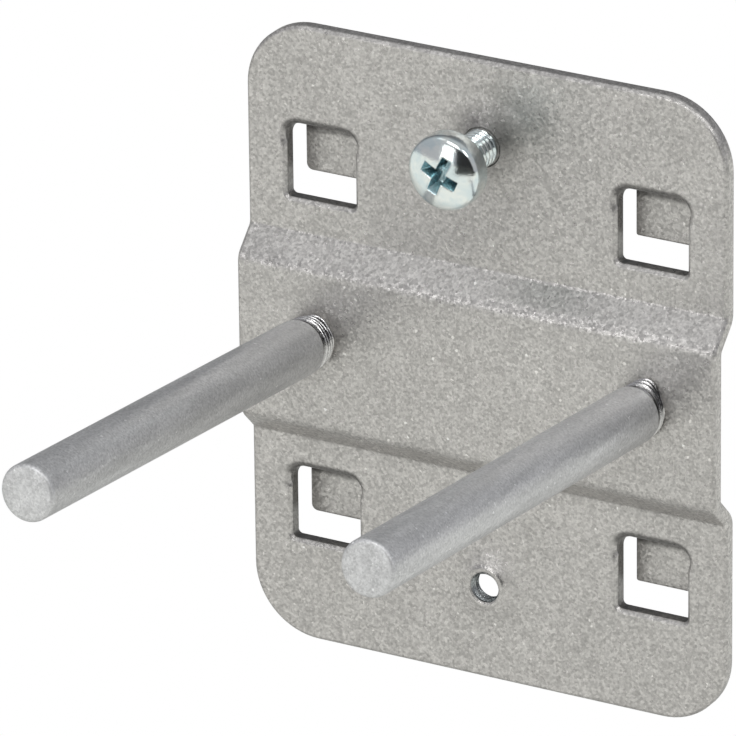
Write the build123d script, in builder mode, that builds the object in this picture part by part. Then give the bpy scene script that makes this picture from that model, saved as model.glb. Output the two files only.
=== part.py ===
"""Double tool hook for a perforated panel.

A stamped steel plate hangs by four tongues in a panel of square holes. Two round pins are welded to
its raised middle band, and a cross-recess screw in a plunged, tapped hole locks it in place.

Frame: +X right, +Z up, the pins reach out along -Y. The origin is the plate's centre, in the plane
where the plate's back rests on the panel.
"""

from build123d import *
from math import cos, radians, sin, tan
import os

# Plate blank
plate_width = 55.0
plate_height = 68.0
sheet = 1.5
corner_radius = 7.4
front_bevel = 0.3
back_bevel = 0.15

# Raised middle band between two joggles
band_rise = 2.6
band_half_height = 8.1
joggle_angle = 45.0
bend_radius = 0.6

# Lanced windows and the tongues that are folded out of them
hole_pitch = 38.0
window_size = 8.0
window_top_radius = 1.4
window_bottom_radius = 0.5
window_bevel = 0.35
fold_rounding = 1.0
tongue_width = 7.1
tongue_drop = 2.1
panel_slot = 2.0
fold_radius = 0.4
tongue_outer_corner = 0.7
tongue_inner_corner = 0.25

# Plunged and tapped holes
tapped_radius = 1.65
rim_foot_radius = 3.2
rim_top_radius = 2.2
rim_height = 0.6
rim_bevel = 0.3
plunge_bevel = 0.4
screw_hole_edge = 9.1
spare_hole_edge = 10.4

# Pins with the upset of their weld at the root
pin_radius = 3.0
pin_reach = 55.9
pin_spacing = 38.0
pin_lift = 0.7
pin_tilt = 5.0
pin_tip_bevel = 0.35
weld_foot = 0.1
weld_neck_radius = 2.55
weld_bead_radius = 3.3
weld_bead_width = 1.0
weld_bead_bevel = 0.4
weld_ring_radius = 2.95
weld_ring_width = 0.75
weld_groove = 0.2

# Locking screw
thread_clearance = 0.05
screw_gap = 6.5
screw_length = 8.0
screw_point = 0.4
head_radius = 4.0
head_height = 3.1
head_side_height = 2.1
recess_span = 4.4
recess_width = 1.2
recess_depth = 1.9
recess_taper = 10.0
recess_turn = -25.0

# Places that follow from the sizes above
screw_hole_height = plate_height / 2 - screw_hole_edge
spare_hole_depth = plate_height / 2 - spare_hole_edge
joggle_run = band_rise / tan(radians(joggle_angle))
outer_bend_radius = bend_radius + sheet
band_front = sheet + band_rise
tongue_back = panel_slot + sheet
head_seat = sheet + screw_gap
thread_core_radius = tapped_radius - thread_clearance
through = 2 * (band_front + tongue_back)
fold_root = (sheet - fold_rounding) / 2
window_places = (-hole_pitch / 2, hole_pitch / 2)

os.makedirs("parts", exist_ok=True)


def flat_faces(solid, depth):
    """Pick the faces of a part that lie flat at one depth, counted forwards from the panel."""
    near = 0.01
    return solid.faces().filter_by(Plane.XZ).filter_by(lambda face: abs(face.center().Y + depth) < near)


def outline_edges(solid, side):
    """Pick the edges between the sheet's cut faces and its back (side 1) or its front (side -1)."""
    level = 0.01
    cut_faces = solid.faces().filter_by(lambda face: abs(face.normal_at().Y) < level)
    broad_faces = solid.faces().filter_by(lambda face: face.normal_at().Y * side > level)
    return cut_faces.edges() & broad_faces.edges()


# The window's outline: wide corner rounds at the fold, small ones at the cut end
with BuildSketch() as window:
    Rectangle(window_size, window_size)
    fillet(window.vertices().group_by(Axis.Y)[-1], window_top_radius)
    fillet(window.vertices().group_by(Axis.Y)[0], window_bottom_radius)

# The punch of the fold: its wide round edge fades out on the way down the window's sides
with BuildPart() as punched_sheet:
    with BuildSketch(Plane.XZ):
        Rectangle(hole_pitch, hole_pitch)
    extrude(amount=sheet)
    with BuildSketch(Plane.XZ):
        with Locations((0, window_size / 2 - window_top_radius)):
            SlotOverall(window_size, 2 * window_top_radius)
    extrude(amount=sheet, mode=Mode.SUBTRACT)
    fillet(flat_faces(punched_sheet, sheet)[0].inner_wires()[0].edges(), fold_rounding)
with BuildPart() as fold_punch:
    with BuildSketch(Plane.XZ):
        Rectangle(hole_pitch, hole_pitch)
    extrude(amount=sheet)
    add(punched_sheet.part, mode=Mode.SUBTRACT)

# The raised rim of a plunged hole, with a sloping flank and a bevelled top
with BuildPart() as plunged_rim:
    with BuildSketch():
        with BuildLine():
            Polyline(
                (0, -rim_height),
                (rim_top_radius - rim_bevel, -rim_height),
                (rim_top_radius, -rim_height + rim_bevel / 2),
                (rim_foot_radius, 0),
                (rim_foot_radius, sheet / 2),
                (0, sheet / 2),
                (0, -rim_height),
            )
        make_face()
    revolve(axis=Axis.Y)


# Base plate: one stamping, with its joggles, windows, tongues and plunged holes
with BuildPart() as base_plate:
    # The sheet seen from the side: its back face is drawn, and the thickness goes forwards
    with BuildSketch(Plane.YZ):
        with BuildLine():
            FilletPolyline(
                (0, plate_height / 2),
                (0, band_half_height + joggle_run),
                (-band_rise, band_half_height),
                (-band_rise, -band_half_height),
                (0, -band_half_height - joggle_run),
                (0, -plate_height / 2),
                radius=[outer_bend_radius, bend_radius, bend_radius, outer_bend_radius],
            )
            offset(amount=sheet, side=Side.RIGHT)
        make_face()
    extrude(amount=plate_width / 2, both=True)

    # The blank's round corners, with its front edge well worn and its back edge only dulled
    fillet(base_plate.edges().filter_by(Axis.Y), corner_radius)
    chamfer(outline_edges(base_plate, 1), back_bevel)
    chamfer(outline_edges(base_plate, -1), front_bevel)

    # Four windows, with the front edge bevelled where the punch went in
    with BuildSketch(Plane.XZ):
        with GridLocations(hole_pitch, hole_pitch, 2, 2):
            add(window.sketch)
    extrude(amount=through, both=True, mode=Mode.SUBTRACT)
    window_mouths = ShapeList(wire for face in flat_faces(base_plate, sheet) for wire in face.inner_wires())
    chamfer(window_mouths.edges(), window_bevel)
    with Locations(*[(column, 0, row) for column in window_places for row in window_places]):
        add(fold_punch.part, mode=Mode.SUBTRACT)

    # A tongue folded back from each window's top edge, then down behind the panel
    for column in window_places:
        for row in window_places:
            web = row + window_size / 2
            tip = row - tongue_drop
            with BuildSketch(Plane.YZ.offset(column)):
                with BuildLine():
                    FilletPolyline(
                        (-fold_root, web),
                        (panel_slot, web),
                        (panel_slot, tip),
                        radius=fold_radius,
                    )
                    Line((panel_slot, tip), (tongue_back, tip))
                    FilletPolyline(
                        (tongue_back, tip),
                        (tongue_back, web + sheet),
                        (0, web + sheet),
                        (0, web + 2 * sheet),
                        radius=[fold_radius + sheet, fold_radius],
                    )
                    Polyline((0, web + 2 * sheet), (-fold_root, web + 2 * sheet), (-fold_root, web))
                make_face()
            extrude(amount=tongue_width / 2, both=True)

    # The window's round upper corners run back into the fold, and stiffen it
    with BuildSketch(Plane.XZ):
        with GridLocations(hole_pitch, hole_pitch, 2, 2):
            Rectangle(tongue_width, window_size / 2, align=(Align.CENTER, Align.MIN))
            add(window.sketch, mode=Mode.SUBTRACT)
    extrude(amount=-panel_slot)

    # The tongues' lower corners, cut off rounder on the outer side
    tip_corners = base_plate.edges().filter_by(Axis.Y).filter_by_position(Axis.Y, panel_slot, tongue_back)
    outer_corners = tip_corners.filter_by(lambda edge: abs(edge.center().X) > hole_pitch / 2)
    inner_corners = tip_corners.filter_by(lambda edge: abs(edge.center().X) < hole_pitch / 2)
    fillet(outer_corners, tongue_outer_corner)
    fillet(inner_corners, tongue_inner_corner)

    # The raised rims of the two plunged holes, and their tapped bores
    with Locations((0, -sheet, screw_hole_height), (0, -sheet, -spare_hole_depth)):
        add(plunged_rim.part)
    with BuildSketch(Plane.XZ):
        with Locations((0, screw_hole_height), (0, -spare_hole_depth)):
            Circle(tapped_radius)
    extrude(amount=through, both=True, mode=Mode.SUBTRACT)
    back_rounds = flat_faces(base_plate, 0).edges().filter_by(GeomType.CIRCLE)
    chamfer(back_rounds.filter_by(lambda edge: round(edge.radius - tapped_radius, 3) == 0), plunge_bevel)


def hook_pin(column):
    """Make one pin and the upset of its weld, which ends flush on the raised band."""
    tilt = radians(pin_tilt)
    root = (column, -band_front, pin_lift)
    along_pin = Plane(origin=root, x_dir=(1, 0, 0), z_dir=(0, -sin(tilt), -cos(tilt)))
    foot_end = weld_bead_radius * tan(tilt) + weld_foot
    ring_start = weld_bead_width + weld_groove
    ring_end = ring_start + weld_ring_width
    weld_end = ring_end + weld_groove
    with BuildPart() as pin:
        with BuildSketch(along_pin):
            with BuildLine():
                Polyline(
                    (0, -foot_end),
                    (weld_bead_radius, -foot_end),
                    (weld_bead_radius, weld_bead_width - weld_bead_bevel),
                    (weld_bead_radius - weld_bead_bevel, weld_bead_width),
                    (weld_neck_radius, weld_bead_width),
                    (weld_neck_radius, ring_start),
                    (weld_ring_radius, (ring_start + ring_end) / 2),
                    (weld_neck_radius, ring_end),
                    (weld_neck_radius, weld_end),
                    (pin_radius - pin_tip_bevel, weld_end),
                    (pin_radius, weld_end + pin_tip_bevel),
                    (pin_radius, pin_reach - pin_tip_bevel),
                    (pin_radius - pin_tip_bevel, pin_reach),
                    (0, pin_reach),
                )
                Line((0, pin_reach), (0, -foot_end))
            make_face()
        revolve(axis=Axis(origin=root, direction=along_pin.y_dir))
        split(bisect_by=Plane.XZ.offset(band_front), keep=Keep.TOP)
    return pin


left_pin = hook_pin(-pin_spacing / 2)
right_pin = hook_pin(pin_spacing / 2)


# Locking screw: a round pan head with a cross recess, and its thread drawn as the core
screw_axis = Plane(origin=(0, 0, screw_hole_height), x_dir=(1, 0, 0), z_dir=(0, 0, -1))
with BuildPart() as locking_screw:
    with BuildSketch(screw_axis):
        with BuildLine():
            Polyline(
                (0, head_seat - screw_length),
                (thread_core_radius - screw_point, head_seat - screw_length),
                (thread_core_radius, head_seat - screw_length + screw_point),
                (thread_core_radius, head_seat),
                (head_radius, head_seat),
                (head_radius, head_seat + head_side_height),
            )
            head_top = (0, head_seat + head_height)
            TangentArc(head_top, (head_radius, head_seat + head_side_height), tangent=(1, 0))
            Line(head_top, (0, head_seat - screw_length))
        make_face()
    revolve(axis=Axis(origin=screw_axis.origin, direction=(0, 1, 0)))
    with BuildSketch(Plane.XZ.offset(head_seat + head_height)):
        with Locations((0, screw_hole_height)):
            Rectangle(recess_span, recess_width, rotation=recess_turn)
            Rectangle(recess_width, recess_span, rotation=recess_turn)
    extrude(amount=-recess_depth, taper=recess_taper, mode=Mode.SUBTRACT)


base_plate.part.label = "base_plate"
export_step(base_plate.part, "parts/base_plate.step")
left_pin.part.label = "left_pin"
export_step(left_pin.part, "parts/left_pin.step")
right_pin.part.label = "right_pin"
export_step(right_pin.part, "parts/right_pin.step")
locking_screw.part.label = "locking_screw"
export_step(locking_screw.part, "parts/locking_screw.step")
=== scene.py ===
# %% [markdown]
# # A double tool hook, dressed around its CAD model
# The object is a stamped steel hook for a perforated panel. It has one folded plate, two round pins
# that are welded to it, and a small screw that locks it. This lesson keeps the CAD model as the fixed
# frame, gives the plate its finish, and adds what is finer: pins, welds, screw, threads and hole rims.

# %% Load the packed model
import math

import bmesh
import bpy
from mathutils import Matrix, Vector


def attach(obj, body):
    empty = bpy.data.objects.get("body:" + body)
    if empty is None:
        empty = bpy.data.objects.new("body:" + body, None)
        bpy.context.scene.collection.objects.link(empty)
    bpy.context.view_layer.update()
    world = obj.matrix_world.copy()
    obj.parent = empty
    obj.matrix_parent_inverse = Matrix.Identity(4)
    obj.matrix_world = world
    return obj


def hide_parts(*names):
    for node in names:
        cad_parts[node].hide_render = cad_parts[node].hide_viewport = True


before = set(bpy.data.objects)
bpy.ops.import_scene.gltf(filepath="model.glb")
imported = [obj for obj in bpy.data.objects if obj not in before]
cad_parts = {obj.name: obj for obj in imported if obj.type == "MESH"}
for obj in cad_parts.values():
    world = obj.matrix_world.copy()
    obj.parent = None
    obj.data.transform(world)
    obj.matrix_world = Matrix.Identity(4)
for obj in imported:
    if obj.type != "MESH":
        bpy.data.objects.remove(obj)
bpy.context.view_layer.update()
MM = 0.001
print("CAD nodes:", sorted(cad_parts))

# %% [markdown]
# ## The camera
# The photograph was taken with a long lens from the right and above, so lines that are parallel on the
# hook stay almost parallel. A long focal length and a camera a metre away give the same flat look. The
# three axes of the camera are written as a matrix, because they come from a fit to the outline.

# %% Camera
AXES = (Vector((0.87206163, 0.48926676, -0.0112496)),       # to the right
        Vector((-0.18338911, 0.34800904, 0.91937922)),      # up
        Vector((0.45373665, -0.79969228, 0.39321153)))      # from the hook back to the lens
STAND = (-12.6584, 0.0342, 1014.5526)       # millimetres along the three axes
camera_data = bpy.data.cameras.new("camera")
camera_data.sensor_width = 36.0
camera_data.lens = 489.13
camera_data.clip_start = 0.1
camera_data.clip_end = 20.0
camera = bpy.data.objects.new("camera", camera_data)
bpy.context.scene.collection.objects.link(camera)
stand = sum((axis * (part * MM) for axis, part in zip(AXES, STAND)), Vector())
camera_turn = Matrix(AXES).transposed().to_4x4()
camera.matrix_world = Matrix.Translation(stand) @ camera_turn
bpy.context.scene.camera = camera
print("camera stands at", tuple(round(v, 3) for v in stand))

# %% [markdown]
# ## A bench for nodes
# Every finish, the floor and the world are node trees. Each node could be placed by hand in the shader
# editor. Here a small class stands for the workbench: it clears a tree, adds nodes and wires them, and
# most sums need only one short call.


# %% The bench
class Bench:
    """A cleared node tree, with short calls to put nodes on it and to wire them."""

    def __init__(self, owner):
        owner.use_nodes = True
        self.tree = owner.node_tree
        self.tree.nodes.clear()

    def feed(self, socket, value):
        """Wire an output to an input socket, or write a plain value on it."""
        if isinstance(value, bpy.types.NodeSocket):
            self.tree.links.new(value, socket)
        else:
            socket.default_value = value

    def add(self, kind, values=(), **settings):
        """Add a node, change its settings, and feed its inputs by name or by number."""
        made = self.tree.nodes.new("ShaderNode" + kind)
        for key, value in settings.items():
            setattr(made, key, value)
        for key, value in dict(values).items():
            self.feed(made.inputs[key], value)
        return made

    def maths(self, operation, *values):
        return self.add("Math", dict(enumerate(values)), operation=operation).outputs[0]

    def product(self, first, *others):
        for other in others:
            first = self.maths("MULTIPLY", first, other)
        return first

    def spread(self, value, start, end, low=0.0, high=1.0):
        """Turn the stretch from start to end into the stretch from low to high, and stop at both ends."""
        values = {"Value": value, "From Min": start, "From Max": end, "To Min": low, "To Max": high}
        return self.add("MapRange", values).outputs[0]

    def scaled(self, vector, factor):
        return self.add("VectorMath", {0: vector, "Scale": factor}, operation="SCALE").outputs[0]

    def blend(self, value, span, colours):
        """A colour ramp with two stops."""
        ramp = self.add("ValToRGB", {0: value})
        for stop, position, colour in zip(ramp.color_ramp.elements, span, colours):
            stop.position = position
            stop.color = (*colour, 1)
        return ramp.outputs[0]

    def millimetres(self, stretch=1.0):
        """Object coordinates in millimetres, with patterns drawn out along Y by a small stretch."""
        where = self.add("TexCoord").outputs["Object"]
        return self.add("Mapping", {"Vector": where, "Scale": (1 / MM, stretch / MM, 1 / MM)}).outputs[0]


print("calls of a bench:", [name for name in vars(Bench) if not name.startswith("_")])

# %% [markdown]
# ## The floor
# Small metal parts are photographed in a white tent, because metal shows whatever stands around it. The
# floor is white where the camera looks at it, and a pale grey card for the light that it gives back. In
# a reflection it is bright in front of the plate and on its right, dimmer behind its left half, and dark
# far in front, where the door of the tent is. The bright part draws the lower half of the screw's head.

# %% Floor
FLOOR_HEIGHT = -0.15
FLOOR_SIZE = 6.0
FLOOR_GLOW = 0.9
GLOW_BEHIND = 0.6           # the share of the glow that is left behind the plate
GLOW_ENDS = (-0.12, -0.03)  # it falls between these two Y, in metres
GLOW_BESIDE = (0.0, 0.06)   # and comes back between these two X
DOORSTEP_Y = (-0.62, -0.72)
DOORSTEP_X = (-0.06, -0.03)
DOOR_DARK = 0.06            # the light that is left in the door and on its step


def floor_finish():
    material = bpy.data.materials.new("white_floor")
    bench = Bench(material)
    where = bench.add("TexCoord").outputs["Object"]
    x, y, _ = bench.add("SeparateXYZ", {0: where}).outputs
    in_front = bench.spread(y, *GLOW_ENDS, FLOOR_GLOW, FLOOR_GLOW * GLOW_BEHIND)
    beside = bench.spread(x, *GLOW_BESIDE, 0.0, FLOOR_GLOW)
    doorstep = bench.product(bench.spread(y, *DOORSTEP_Y), bench.spread(x, *DOORSTEP_X))
    unlit = bench.spread(doorstep, 0, 1, 1.0, DOOR_DARK)
    glow = bench.product(bench.maths("MAXIMUM", in_front, beside), unlit)
    pale = bench.add("Emission", {"Color": (0.97, 0.98, 0.95, 1), "Strength": glow})
    card = bench.add("BsdfDiffuse", {"Color": (0.82, 0.82, 0.80, 1)})
    white = bench.add("Emission", {"Color": (1, 1, 1, 1), "Strength": 1.0})
    path = bench.add("LightPath")
    felt = bench.add("MixShader", {0: path.outputs["Is Glossy Ray"], 1: card.outputs[0], 2: pale.outputs[0]})
    seen = bench.add("MixShader", {0: path.outputs["Is Camera Ray"], 1: felt.outputs[0], 2: white.outputs[0]})
    bench.add("OutputMaterial", {"Surface": seen.outputs[0]})
    return material


floor_mesh = bpy.data.meshes.new("floor")
bm = bmesh.new()
bmesh.ops.create_grid(bm, x_segments=1, y_segments=1, size=FLOOR_SIZE / 2)
bmesh.ops.translate(bm, verts=bm.verts, vec=(0, 0, FLOOR_HEIGHT))
bm.to_mesh(floor_mesh)
bm.free()
floor = bpy.data.objects.new("floor", floor_mesh)
bpy.context.scene.collection.objects.link(floor)
floor_mesh.materials.append(floor_finish())
print("floor at", FLOOR_HEIGHT, "m")

# %% [markdown]
# ## The tent
# The world is the tent. The camera sees it white, and the metal sees grey cloth that grows a little
# lighter upwards. Behind the plate's left half the tent is open and dim, and its dark door in front
# makes the sharp black wedge on the dome of the screw. A picture of a studio could light the scene too,
# but a few straight borders are enough, and each can be moved by one number. A border is a soft step
# between two values of one part of the direction in which a reflection looks.

# %% World
CLOTH_COLOURS = ((0.42, 0.42, 0.45), (0.50, 0.51, 0.53))
CLOTH_SPAN = (0.46, 0.95)       # from just under the horizon, 0.5, almost to the top, 1
OPEN_WAY = (-0.5, 0.85, 0.2)    # the tent is open towards this direction
OPEN_SPAN = (0.3, 0.9)
OPEN_DIM = 0.3
DOOR_LEFT = (-0.06, -0.03)
DOOR_SILL = (-0.08, -0.07)
DOOR_TOP = (0.50, 0.42)
DOOR_FRONT = (-0.6, -0.7)


def set_world():
    world = bpy.data.worlds.new("white_tent")
    bpy.context.scene.world = world
    bench = Bench(world)
    way = bench.add("TexCoord").outputs["Generated"]
    x, y, z = bench.add("SeparateXYZ", {0: way}).outputs
    cloth = bench.blend(bench.spread(z, -1, 1), CLOTH_SPAN, CLOTH_COLOURS)
    towards = bench.add("VectorMath", {0: way, 1: Vector(OPEN_WAY).normalized()}, operation="DOT_PRODUCT")
    open_side = bench.spread(towards.outputs["Value"], *OPEN_SPAN, 1.0, OPEN_DIM)
    borders = ((x, DOOR_LEFT), (z, DOOR_SILL), (z, DOOR_TOP), (y, DOOR_FRONT))
    in_door = bench.product(*(bench.spread(value, *ends) for value, ends in borders))
    dark = bench.spread(in_door, 0, 1, 1.0, DOOR_DARK)
    shaded = bench.scaled(cloth, bench.product(dark, open_side))
    tent = bench.add("Background", {"Color": shaded, "Strength": 1.0})
    white = bench.add("Background", {"Color": (1, 1, 1, 1), "Strength": 1.0})
    path = bench.add("LightPath")
    seen = bench.add("MixShader", {0: path.outputs["Is Camera Ray"], 1: tent.outputs[0], 2: white.outputs[0]})
    bench.add("OutputWorld", {"Surface": seen.outputs[0]})
    print("world has", len(world.node_tree.nodes), "nodes")


set_world()
bpy.context.scene.view_settings.view_transform = "Standard"

# %% [markdown]
# ## The lamps
# Four soft rectangles do the work of the photographer's lamps, and draw the bright arcs on the welds and
# at the mouth of the empty hole. The key lamp and the right lamp shape the pins, the front lamp is the
# white square on the screw's head, and the weak top lamp is there for the edges that face upwards. Point
# lamps would be simpler, but metal would show them as hard dots.

# %% Lamps
LAMP_DISTANCE = 0.8     # metres


def soft_lamp(name, azimuth, elevation, width, height, watts):
    """A rectangular lamp that looks at the hook from a direction given in degrees."""
    data = bpy.data.lights.new(name, "AREA")
    data.shape = "RECTANGLE"
    data.size = width
    data.size_y = height
    data.energy = watts
    lamp = bpy.data.objects.new(name, data)
    bpy.context.scene.collection.objects.link(lamp)
    a, e = math.radians(azimuth), math.radians(elevation)
    towards = Vector((math.sin(a) * math.cos(e), -math.cos(a) * math.cos(e), math.sin(e)))
    lamp.location = towards * LAMP_DISTANCE
    lamp.rotation_mode = "QUATERNION"
    lamp.rotation_quaternion = towards.to_track_quat("Z", "Y")
    print(name, "at", tuple(round(v, 2) for v in lamp.location))


soft_lamp("key_lamp", azimuth=-3, elevation=42, width=0.3, height=0.22, watts=1.0)
soft_lamp("right_lamp", azimuth=42, elevation=40, width=0.2, height=0.2, watts=0.6)
soft_lamp("front_lamp", azimuth=-15, elevation=11, width=0.2, height=0.27, watts=0.5)
soft_lamp("top_lamp", azimuth=-49, elevation=53, width=0.3, height=0.2, watts=0.11)

# %% [markdown]
# ## Painted shade in hollows and inside the windows
# Hollows lie in shade, and that shade is painted into the colour. The Ambient Occlusion node
# measures how open a point is, and that becomes a factor for the colour. With "only local" it looks at
# the piece's own shape, so that a pin leaves no dark ring on the plate.
#
# Inside each window the walls, the fold and the top of the tongue just under the fold lie in shade, and
# that shade is painted into the colour. These places could be painted by hand. They are found by sums
# instead, because the windows stand on one square: a point is marked if it lies near a window and faces
# down or sideways, or lies high on the tongue's front. The painted shadow and dark reflection of the
# screw, in a ring round its hole, is found by its distance from the hole.

# %% Shades
OPENNESS = (0.4, 0.88)      # from a deep hollow to open ground
HOLLOW_DARK = 0.1
FACING_DOWN = (-0.03, -0.3)
FACING_SIDEWAYS = 0.6       # a wall's normal points along Y by less than this
WINDOW_PITCH = 38.0
WINDOW_REACH_X = 4.7    # a window's marks end this far from its middle
WINDOW_REACH_Z = 5.2
WALL_MIDDLE = 0.2       # Y of the middle of a window wall, and how far the wall reaches to both sides
WALL_REACH = 1.35
TONGUE_FRONT = 1.5
UNDER_FOLD = (2.0, 2.5)     # heights over the middle of a window
WINDOW_SHADE_DARK = 0.42
# painted shadow and dark reflection of the screw, in a ring round its hole
SCREW_SHADE_PLACE = (0, -2, 25)
SCREW_SHADE_SPAN = (2.8, 5.0)
SCREW_SHADE_DARK = 0.58


def hollow_shade(bench, distance):
    """Painted shade: dark where the piece's own shape shuts a point in within this distance."""
    shelter = bench.add("AmbientOcclusion", {"Distance": distance * MM}, samples=8, only_local=True)
    return bench.spread(shelter.outputs["AO"], *OPENNESS, HOLLOW_DARK, 1.0)


def window_shade(bench, place):
    """Painted shade on the window walls, on the folds and just under them, at all four windows."""
    x, y, z = bench.add("SeparateXYZ", {0: place}).outputs
    facing = bench.add("NewGeometry").outputs["Normal"]
    _, facing_y, facing_z = bench.add("SeparateXYZ", {0: facing}).outputs
    fold = bench.spread(facing_z, *FACING_DOWN)
    wall = bench.product(bench.maths("COMPARE", y, WALL_MIDDLE, WALL_REACH),
                         bench.maths("COMPARE", facing_y, 0.0, FACING_SIDEWAYS))
    height = bench.maths("MULTIPLY_ADD", bench.maths("SIGN", z), -WINDOW_PITCH / 2, z)
    under = bench.product(bench.spread(height, *UNDER_FOLD), bench.maths("GREATER_THAN", y, TONGUE_FRONT))
    mark = bench.maths("MAXIMUM", bench.maths("MAXIMUM", fold, wall), under)
    for value, reach in ((x, WINDOW_REACH_X), (z, WINDOW_REACH_Z)):
        near = bench.maths("COMPARE", bench.maths("ABSOLUTE", value), WINDOW_PITCH / 2, reach)
        mark = bench.product(mark, near)
    return bench.spread(mark, 0, 1, 1.0, WINDOW_SHADE_DARK)


def screw_shadow_shade(bench, place):
    """Painted shadow and dark reflection of the screw, in a ring round its hole."""
    away = bench.add("VectorMath", {0: place, 1: SCREW_SHADE_PLACE}, operation="DISTANCE").outputs["Value"]
    return bench.spread(away, *SCREW_SHADE_SPAN, SCREW_SHADE_DARK, 1.0)


print("marked zone of a window:", 2 * WINDOW_REACH_X, "x", 2 * WINDOW_REACH_Z, "mm")

# %% [markdown]
# ## The silver coats
# The hook has a silver powder coat. Tiny aluminium flakes lie in it at slightly different angles, so it
# looks grey from afar and sparkles close up. Cells of a Voronoi texture stand for the flakes: each cell
# gets its own brightness and tips the surface by a small random angle, and a few shine out. A fine noise
# is the peel of the powder, and a slow one is the cloud that spraying leaves. The Bevel node rounds the
# edges for the light alone, as a coat does, so that the CAD shape can stay as it is.


# %% The coat of the plate
PLATE_GREY = (0.565, 0.548, 0.525)
NOISE_SPAN = (0.3, 0.7)     # most of a noise lies between these values
SPARK_FROM = 0.993          # the share of the flakes that stay dull
SPARK = 0.7
ROUGH_SWING = 0.06


def flaked_coat(name, colour, flake_size, contrast, tip, roughness, metallic, peel=0.02, worn=0.0, hollow=0.0,
                streak=1.0, cloud_scale=0.22, cloudy=0.04, window_and_screw_shade=False):
    """Mix a silver coat. The lengths flake_size, peel, worn and hollow are in millimetres."""
    material = bpy.data.materials.new(name)
    bench = Bench(material)
    place = bench.millimetres()
    flakes = bench.add("TexVoronoi", {"Vector": place, "Scale": 1 / flake_size}).outputs["Color"]
    grain = bench.add("TexNoise", {"Vector": place, "Scale": 1 / flake_size, "Detail": 3.0, "Roughness": 0.6})
    cloud = bench.add("TexNoise", {"Vector": bench.millimetres(streak), "Scale": cloud_scale, "Detail": 2.0})
    first, second, third = bench.add("SeparateColor", {0: flakes}).outputs
    # Brightness
    lit = bench.spread(first, 0, 1, 1 - contrast, 1 + contrast)
    fine = bench.spread(grain.outputs["Fac"], *NOISE_SPAN, 1 - contrast, 1 + contrast)
    soft = bench.spread(cloud.outputs["Fac"], *NOISE_SPAN, 1 - cloudy, 1 + cloudy)
    spark = bench.spread(second, SPARK_FROM, 1.0, 0.0, SPARK)
    level = bench.product(bench.maths("MULTIPLY_ADD", lit, fine, spark), soft)
    # painted shade in hollows
    if hollow:
        level = bench.product(level, hollow_shade(bench, hollow))
    # painted shade inside the windows, and painted shadow and reflection of the screw round its hole
    if window_and_screw_shade:
        level = bench.product(level, window_shade(bench, place), screw_shadow_shade(bench, place))
    # Slope
    centred = bench.add("VectorMath", {0: flakes, 1: (0.5, 0.5, 0.5)}, operation="SUBTRACT").outputs[0]
    peeled = bench.add("Bump", {"Strength": 1.0, "Distance": peel * MM, "Height": grain.outputs["Fac"]})
    if worn:
        rounded = bench.add("Bevel", {"Radius": worn * MM}, samples=6)
        bench.feed(peeled.inputs["Normal"], rounded.outputs[0])
    leaning = bench.add("VectorMath", {0: peeled.outputs[0], 1: bench.scaled(centred, tip)}, operation="ADD")
    slope = bench.add("VectorMath", {0: leaning.outputs[0]}, operation="NORMALIZE")
    shader = bench.add("BsdfPrincipled", {
        "Base Color": bench.scaled(colour, level),
        "Metallic": metallic,
        "Roughness": bench.spread(third, 0, 1, roughness + ROUGH_SWING, roughness - ROUGH_SWING),
        "Normal": slope.outputs[0],
    })
    bench.add("OutputMaterial", {"Surface": shader.outputs[0]})
    print(name, "has", len(material.node_tree.nodes), "nodes")
    return material


plate_coat = flaked_coat("plate_coat_silver", PLATE_GREY, flake_size=0.27, contrast=0.2, tip=0.09,
                         roughness=0.33, metallic=0.72, worn=0.3, hollow=2.6, window_and_screw_shade=True)
base_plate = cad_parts["base_plate"]
base_plate.data.materials.clear()
base_plate.data.materials.append(plate_coat)
print("plate keeps its CAD shape of", len(base_plate.data.polygons), "faces")

# %% [markdown]
# The same recipe makes four more coats. The pins were drawn through a die before they were coated, so
# their cloud is stretched along Y. The coat at the mouth of the empty hole, on the welds and in the
# thread lies thinner and glossier, so that it catches the lamps. One coat for all would be simpler, but
# those places would not shine as they do in the photograph.

# %% The other coats
pin_coat = flaked_coat("pin_coat_silver", (0.71, 0.71, 0.705), flake_size=0.22, contrast=0.12, tip=0.12,
                       roughness=0.42, metallic=0.55, hollow=1.5, streak=0.1, cloud_scale=0.9, cloudy=0.11)
collar_coat = flaked_coat("collar_coat_silver", PLATE_GREY, flake_size=0.27, contrast=0.15, tip=0.06,
                          roughness=0.25, metallic=0.72, hollow=1.5)
weld_coat = flaked_coat("weld_coat_silver", (0.68, 0.67, 0.66), flake_size=0.2, contrast=0.08, tip=0.05,
                        roughness=0.14, metallic=1.0, peel=0.03, hollow=0.8)
# The thread's coat is darker than the plate's: painted shade inside the bore.
shaded_thread_coat = flaked_coat("thread_coat_silver", (0.36, 0.38, 0.38), flake_size=0.2, contrast=0.1, tip=0.06,
                          roughness=0.16, metallic=1.0, peel=0.05, hollow=1.2)

# %% [markdown]
# ## Turned pieces
# A pin, a weld ridge and a screw head are all round, so they start as a line of points beside an axis.
# The spin operator turns that line once round the axis, and a merge closes the seam and the poles. The
# line is drawn in millimetres as pairs of radius and distance along the axis. Cylinders and cones could
# be joined instead, but one line is easier to change, and it leaves no faces inside.

# %% Helpers for turned pieces
ROUND_STEPS = 96
SHARP = 0.7     # radians between two faces, from which their edge is drawn sharp


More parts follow.
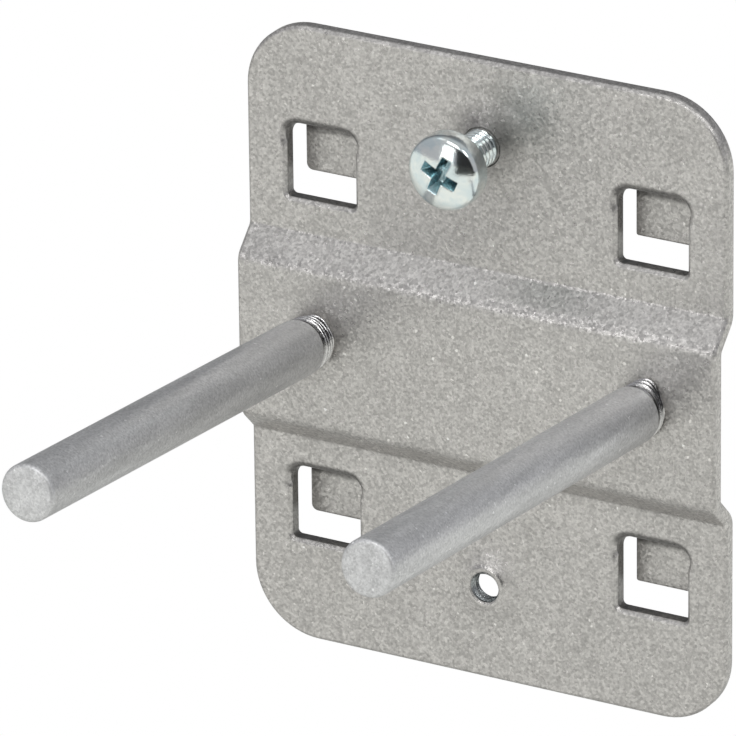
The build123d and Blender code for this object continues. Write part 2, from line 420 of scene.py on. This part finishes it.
def turned(profile, steps=ROUND_STEPS):
    """Spin a line of (radius, distance) pairs round the Z axis, in millimetres."""
    shape = bmesh.new()
    points = [shape.verts.new((radius, 0, along)) for radius, along in profile]
    line = [shape.edges.new(pair) for pair in zip(points, points[1:])]
    bmesh.ops.spin(shape, geom=points + line, axis=(0, 0, 1), cent=(0, 0, 0), dvec=(0, 0, 0),
                   angle=2 * math.pi, steps=steps, use_merge=True, use_duplicate=False)
    bmesh.ops.remove_doubles(shape, verts=shape.verts, dist=0.0005)
    bmesh.ops.recalc_face_normals(shape, faces=shape.faces)
    return shape


def round_ring(shape, height, width, segments):
    """Bevel the sharp ring of edges that lies at this distance along the axis."""
    def on_ring(edge):
        a, b = (vert.co for vert in edge.verts)
        level = abs(a.z - b.z) < 1e-4 and abs(a.xy.length - b.xy.length) < 1e-3
        return level and abs(a.z - height) < 1e-3

    ring = [edge for edge in shape.edges if on_ring(edge) and edge.calc_face_angle(0) > 0.3]
    bmesh.ops.bevel(shape, geom=ring, offset=width, offset_type="OFFSET", affect="EDGES",
                    segments=segments, profile=0.5, material=-1)


def loose(name, shape, materials):
    """Make an object of a shape as it stands, and free the shape."""
    mesh = bpy.data.meshes.new(name)
    shape.to_mesh(mesh)
    shape.free()
    for material in materials:
        mesh.materials.append(material)
    made = bpy.data.objects.new(name, mesh)
    bpy.context.scene.collection.objects.link(made)
    return made


def placed(name, shape, origin, along, materials, body):
    """Turn a shape's Z axis to a direction, put it in its place in metres, and make it a piece."""
    turn_to = Vector(along).to_track_quat("Z", "Y").to_matrix().to_4x4()
    shape.transform(Matrix.Translation(origin) @ turn_to @ Matrix.Scale(MM, 4))
    for face in shape.faces:
        face.smooth = True
    for edge in shape.edges:
        edge.smooth = edge.calc_face_angle(0) < SHARP
    piece = loose(name, shape, materials)
    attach(piece, body)
    print(name, "has", len(piece.data.polygons), "faces")
    return piece


print("round pieces turn in steps of", 360 / ROUND_STEPS, "degrees")

# %% [markdown]
# ## The pins and their welds
# Each pin is a cut length of round bar. Its end was pressed hot against the plate, which pushed ridges
# of metal out at the root, mostly at the upper right. A ridge is part of the same turned line, and then
# every point of it moves by smooth waves of its angle, because a real weld is never even. The right pin
# was pressed in deeper, so its weld is shorter and stands out more.

# %% Pins
PIN_RADIUS = 3.0
PIN_REACH = 55.9
PIN_TILT = math.radians(5)
PIN_ROOT = (19.0, -4.1, 0.7)
PIN_FOOT = -0.6         # the bar goes on this far inside the plate
TIP_ROUNDING = 0.45
FIRST_RIDGE = 0.2
LAST_GAP = 0.35
# Radius, and distance from the crest as a share of the step from ridge to ridge
RIDGE = ((2.84, -0.3), (2.97, -0.15), (PIN_RADIUS, 0), (2.97, 0.15), (2.84, 0.3), (2.68, 0.5))
# Radius, and distance from the weld's end, where the bar's pressed rear edge is round
REAR_EDGE = ((2.7, 0), (2.85, 0.08), (2.96, 0.2), (PIN_RADIUS, 0.4))
UPPER_SWELL = 70        # degrees round the pin
SIDE_SWELL = 20
SWELL_SPREAD = 30
SIDE_SHARE = 0.09
WAVE_SHARE = 0.02
RIPPLES = (0.1, 0.05)   # millimetres along the pin, for two and five waves a turn
NEAR_GAIN = 1.15        # the full movement reaches a little way up from the plate


def pin_line(weld_end, ridges):
    """The pin from its foot to its tip, with ridges from the plate up to the weld's end."""
    step = (weld_end - LAST_GAP) / ridges
    line = [(0, PIN_FOOT), (PIN_RADIUS, PIN_FOOT)]
    for i in range(ridges):
        crest = FIRST_RIDGE + step * i
        line += [(radius, crest + share * step) for radius, share in RIDGE]
    line += [(radius, weld_end + on) for radius, on in REAR_EDGE]
    return line + [(PIN_RADIUS, PIN_REACH), (0, PIN_REACH)]


def push_out(point, weld_end, swell, side):
    """Move one point of a weld, by two swells and some waves of its angle, most near the plate."""
    angle = math.degrees(math.atan2(point.y, point.x))
    near_plate = min(1.0, NEAR_GAIN * (weld_end - point.z) / weld_end)
    upper = math.exp(-((angle - UPPER_SWELL) / SWELL_SPREAD) ** 2)
    beside = math.exp(-((angle - SIDE_SWELL) / SWELL_SPREAD) ** 2)
    out = swell * upper + SIDE_SHARE * beside - SIDE_SHARE
    wave = math.sin(math.radians(3 * angle) + 3.1 * point.z + side)
    wave += 0.6 * math.sin(math.radians(7 * angle) - 4.3 * point.z)
    point.xy *= 1 + (out + WAVE_SHARE * wave) * near_plate
    slow, quick = RIPPLES
    ripple = slow * math.sin(math.radians(2 * angle) + side) + quick * math.sin(math.radians(5 * angle))
    point.z += near_plate * (math.tan(PIN_TILT) * point.y + ripple)


def pin(name, node_name, side, weld_end, ridges, swell):
    shape = turned(pin_line(weld_end, ridges))
    round_ring(shape, PIN_REACH, TIP_ROUNDING, segments=6)
    for vert in shape.verts:
        if vert.co.z < weld_end and vert.co.xy.length > 1:
            push_out(vert.co, weld_end, swell, side)
    for face in shape.faces:
        if face.calc_center_median().z < weld_end:
            face.material_index = 1
    root = Vector((PIN_ROOT[0] * side, PIN_ROOT[1], PIN_ROOT[2])) * MM
    along = (0, -math.cos(PIN_TILT), math.sin(PIN_TILT))
    piece = placed(name, shape, root, along, [pin_coat, weld_coat], "holder")
    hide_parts(node_name)


pin("left_round_pin", "left_pin", -1, weld_end=2.15, ridges=4, swell=0.2)
pin("right_round_pin", "right_pin", 1, weld_end=1.3, ridges=3, swell=0.4)

# %% [markdown]
# ## The zinc of the screw
# The screw is bright steel with a thin blue passivated zinc layer. It is nearly a mirror, with a bluish
# tint. The tint is a slow noise between two light colours, and the Bevel node rounds the edges for the
# light. The recess has a darker, teal copy of the zinc: painted shade, and painted light that bounces
# between its walls, with more painted shade in its corners. Plain chrome would be simpler, but it looks
# too clean.

# %% Zinc
TINT_SPAN = (0.38, 0.62)
PIT_DEPTH = 0.006           # millimetres
PIT_ROUGHNESS = (0.7, 1.4)  # the roughness is multiplied by these in a pit and on a bump
ZINC_WORN = 0.28            # millimetres
CORNER_OPENNESS = (0.1, 0.7)
CORNER_DARK = 0.25


def zinc_finish(name, light, dark, roughness, hollow=0.0):
    material = bpy.data.materials.new(name)
    bench = Bench(material)
    place = bench.millimetres()
    tint = bench.add("TexNoise", {"Vector": place, "Scale": 0.7, "Detail": 2.0}).outputs["Fac"]
    colour = bench.blend(tint, TINT_SPAN, (dark, light))
    if hollow:
        # painted shade: ambient occlusion darkens the colour in the corners of the recess
        shelter = bench.add("AmbientOcclusion", {"Distance": hollow * MM}, samples=8)
        colour = bench.scaled(colour, bench.spread(shelter.outputs["AO"], *CORNER_OPENNESS, CORNER_DARK, 1.0))
    pits = bench.add("TexNoise", {"Vector": place, "Scale": 5.0, "Detail": 3.0}).outputs["Fac"]
    rounded = bench.add("Bevel", {"Radius": ZINC_WORN * MM}, samples=6).outputs[0]
    uneven = bench.add("Bump", {"Strength": 1.0, "Distance": PIT_DEPTH * MM, "Height": pits, "Normal": rounded})
    shader = bench.add("BsdfPrincipled", {
        "Base Color": colour,
        "Metallic": 1.0,
        "Roughness": bench.spread(pits, 0, 1, *(roughness * share for share in PIT_ROUGHNESS)),
        "Normal": uneven.outputs[0],
    })
    bench.add("OutputMaterial", {"Surface": shader.outputs[0]})
    print(name, "has", len(material.node_tree.nodes), "nodes")
    return material


zinc = zinc_finish("bright_zinc", light=(0.88, 0.92, 0.89), dark=(0.74, 0.83, 0.84), roughness=0.11)
shaded_recess_zinc = zinc_finish("shaded_recess_zinc", light=(0.62, 0.77, 0.79), dark=(0.36, 0.52, 0.57), roughness=0.16, hollow=1.2)

# %% [markdown]
# ## The head of the locking screw
# The head is turned, and its cross recess is pressed in by a punch. Here two tapered blades stand for
# the punch, and a Boolean modifier cuts each of them out of the head. The faces that a blade leaves take
# the blade's own material, which is how the recess gets its darker zinc with the painted shade and bounced light.

# %% Head and blades
SCREW_HEIGHT = 24.9
HEAD_SEAT = 8.0
HEAD_HEIGHT = 3.1
HEAD_SIDE = 2.1
HEAD_RADIUS = 4.0
DOME_STEPS = 14
CORE_RADIUS = 1.6
RECESS_TURN = math.radians(-25)
RECESS_DEPTH = 1.9
BLADE_OVER = 0.6            # a blade stands out this far over the dome
BLADE_TOP = (4.9, 1.35)     # length and width
BLADE_FOOT = (2.7, 0.75)
SEAT_ROUNDING = 0.12
SIDE_ROUNDING = 0.42
FORWARDS = (0, -1, 0)


def head_profile():
    """The pan head from its axis at the seat, up its side, and over the dome to the axis again."""
    rise = HEAD_HEIGHT - HEAD_SIDE
    bend = (HEAD_RADIUS ** 2 + rise ** 2) / (2 * rise)
    points = [(0, 0), (HEAD_RADIUS, 0), (HEAD_RADIUS, HEAD_SIDE)]
    # The first step of the dome is left out, because the rounding of the side needs its room
    for i in range(2, DOME_STEPS + 1):
        angle = math.asin(HEAD_RADIUS / bend) * (1 - i / DOME_STEPS)
        points.append((bend * math.sin(angle), HEAD_HEIGHT - bend + bend * math.cos(angle)))
    return points


def blade(turn_by):
    """One tapered blade of the punch: wide on top, and narrower at the bottom of the recess."""
    shape = bmesh.new()
    bmesh.ops.create_cube(shape, size=1.0)
    for vert in shape.verts:
        high = vert.co.z > 0
        length, width = BLADE_TOP if high else BLADE_FOOT
        level = HEAD_HEIGHT + BLADE_OVER if high else HEAD_HEIGHT - RECESS_DEPTH
        vert.co = Vector((vert.co.x * length, vert.co.y * width, level))
    bmesh.ops.rotate(shape, verts=shape.verts, cent=(0, 0, 0), matrix=Matrix.Rotation(turn_by, 3, "Z"))
    for face in shape.faces:
        face.material_index = 1
    return shape


head_shape = turned(head_profile())
round_ring(head_shape, 0, SEAT_ROUNDING, segments=3)
round_ring(head_shape, HEAD_SIDE, SIDE_ROUNDING, segments=6)
print("head blank has", len(head_shape.faces), "faces")

# %% [markdown]
# A Bevel modifier after the two cuts breaks the sharp mouth of the recess. The cut head is then read back
# from the evaluated object, so that the blank and the blades can go and only the screw itself stays.

# %% Punch the recess
head = loose("head_blank", head_shape, [zinc, shaded_recess_zinc])
blades = [loose("blade", blade(RECESS_TURN + quarter), [zinc, shaded_recess_zinc]) for quarter in (0, math.pi / 2)]
for each in blades:
    cut = head.modifiers.new("cut", "BOOLEAN")
    cut.operation = "DIFFERENCE"
    cut.solver = "EXACT"
    cut.object = each
edges = head.modifiers.new("worn_edges", "BEVEL")
edges.width = 0.11
edges.segments = 3
edges.limit_method = "ANGLE"
edges.angle_limit = math.radians(35)
bpy.context.view_layer.update()
cut_mesh = bpy.data.meshes.new_from_object(head.evaluated_get(bpy.context.evaluated_depsgraph_get()))
head_cut = bmesh.new()
head_cut.from_mesh(cut_mesh)
for each in [head, *blades]:
    bpy.data.objects.remove(each)
print("head has", len(head_cut.faces), "faces after the punch")

# %% [markdown]
# ## The thread
# A thread is one ridge that climbs round a core. The spin operator makes it too: it is given a small
# step along the axis for each step of the turn, so the outline of the ridge becomes a helix.

# %% Thread
PITCH = 0.7
THREAD_RADIUS = 1.97
THREAD_TURNS = 10.5
THREAD_START = -7.6
SHANK_END = -8.0
RIDGE_SUNK = 0.25       # the foot of the ridge lies this far inside the core
RIDGE_FOOT = 0.34       # half of its width there, and at its crest
RIDGE_CREST = 0.06


def helix(profile, turns, steps_per_turn, start):
    """Spin a closed outline of (radius, distance) pairs into a ridge, and cap both of its ends."""
    shape = bmesh.new()
    points = [shape.verts.new((radius, 0, start + along)) for radius, along in profile]
    outline = [shape.edges.new(pair) for pair in zip(points, points[1:] + points[:1])]
    shape.faces.new(points)
    spun = bmesh.ops.spin(shape, geom=points + outline, axis=(0, 0, 1), cent=(0, 0, 0),
                          dvec=(0, 0, PITCH / steps_per_turn), angle=2 * math.pi * turns,
                          steps=int(turns * steps_per_turn), use_merge=False, use_duplicate=False)
    last = [v for v in spun["geom_last"] if isinstance(v, bmesh.types.BMVert)]
    ring = sorted(last, key=lambda v: v.index)
    shape.verts.ensure_lookup_table()
    shape.faces.new(ring)
    bmesh.ops.recalc_face_normals(shape, faces=shape.faces)
    return shape


screw_ridge = [(CORE_RADIUS - RIDGE_SUNK, -RIDGE_FOOT), (CORE_RADIUS, -RIDGE_FOOT), (THREAD_RADIUS, -RIDGE_CREST),
               (THREAD_RADIUS, RIDGE_CREST), (CORE_RADIUS, RIDGE_FOOT), (CORE_RADIUS - RIDGE_SUNK, RIDGE_FOOT)]
screw_core = [(0, SHANK_END), (CORE_RADIUS - 0.4, SHANK_END), (CORE_RADIUS, THREAD_START),
              (CORE_RADIUS, 0.05), (0, 0.05)]
screw_helix = helix(screw_ridge, THREAD_TURNS, steps_per_turn=48, start=THREAD_START)
for extra in (screw_helix, turned(screw_core, steps=64)):
    mesh = bpy.data.meshes.new("part_of_screw")
    extra.to_mesh(mesh)
    extra.free()
    head_cut.from_mesh(mesh)
screw_origin = Vector((0, -HEAD_SEAT, SCREW_HEIGHT)) * MM
screw_piece = placed("cross_recess_screw", head_cut, screw_origin, FORWARDS, [zinc, shaded_recess_zinc], "screw")
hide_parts("locking_screw")

# %% [markdown]
# ## The two tapped holes
# Light glints on the turns of the thread inside the empty hole, so a short ridge lines the wall of its
# bore. A punch drew the metal round each hole forwards before it was tapped. The CAD rim is a plain cone,
# and a turned collar lies over it: a rounded mouth, and a low swelling that runs out into the plate. Its
# height falls by a square law, so there is no edge where it meets the plate.

# %% Tapped holes
BORE_RADIUS = 1.65
SPARE_HOLE = Vector((0, 0, -23.6)) * MM
SCREW_HOLE = Vector((0, 0, SCREW_HEIGHT)) * MM
RIM_RADIUS = 2.2
RIM_HEIGHT = 0.6
COLLAR_RADIUS = 6.0
COLLAR_STEPS = 12
MOUTH_COAT_RADIUS = 2.45
COLLAR_UNDER = 1.35     # the collar's underside lies inside the plate
COLLAR_EDGE = 1.495     # and its thin edge just under the plate's front
bore_ridge = [(BORE_RADIUS + 0.02, -0.3), (BORE_RADIUS - 0.2, -0.05), (BORE_RADIUS - 0.2, 0.05),
              (BORE_RADIUS + 0.02, 0.3)]
bore_helix = helix(bore_ridge, turns=2.3, steps_per_turn=64, start=0.3)
placed("spare_hole_thread", bore_helix, SPARE_HOLE, FORWARDS, [shaded_thread_coat], "holder")


def collar(name, mouth, centre, mouth_coat):
    """A rounded mouth on a low swelling, with a coat of its own at the mouth."""
    line = [(mouth + 0.6, COLLAR_UNDER), (mouth, COLLAR_UNDER), (mouth, 1.95), (mouth + 0.05, 2.07),
            (mouth + 0.15, 2.13), ((mouth + RIM_RADIUS) / 2 + 0.04, 2.15), (RIM_RADIUS - 0.08, 2.14)]
    for i in range(COLLAR_STEPS + 1):
        left = 1 - i / COLLAR_STEPS
        line.append((COLLAR_RADIUS - (COLLAR_RADIUS - RIM_RADIUS) * left, COLLAR_EDGE + RIM_HEIGHT * left ** 2))
    line += [(COLLAR_RADIUS, 1.4), (mouth + 0.6, COLLAR_UNDER)]
    shape = turned(line)
    for face in shape.faces:
        away = face.calc_center_median().xy.length
        # the bore's wall at the mouth takes the darker thread coat, painted shade inside the bore
        face.material_index = 1 if away < mouth + 0.03 else 0 if away < MOUTH_COAT_RADIUS else 2
    placed(name, shape, centre, FORWARDS, [mouth_coat, shaded_thread_coat, plate_coat], "holder")


collar("spare_hole_collar", mouth=1.64, centre=SPARE_HOLE, mouth_coat=collar_coat)
collar("screw_hole_collar", mouth=2.0, centre=SCREW_HOLE, mouth_coat=plate_coat)

# %% [markdown]
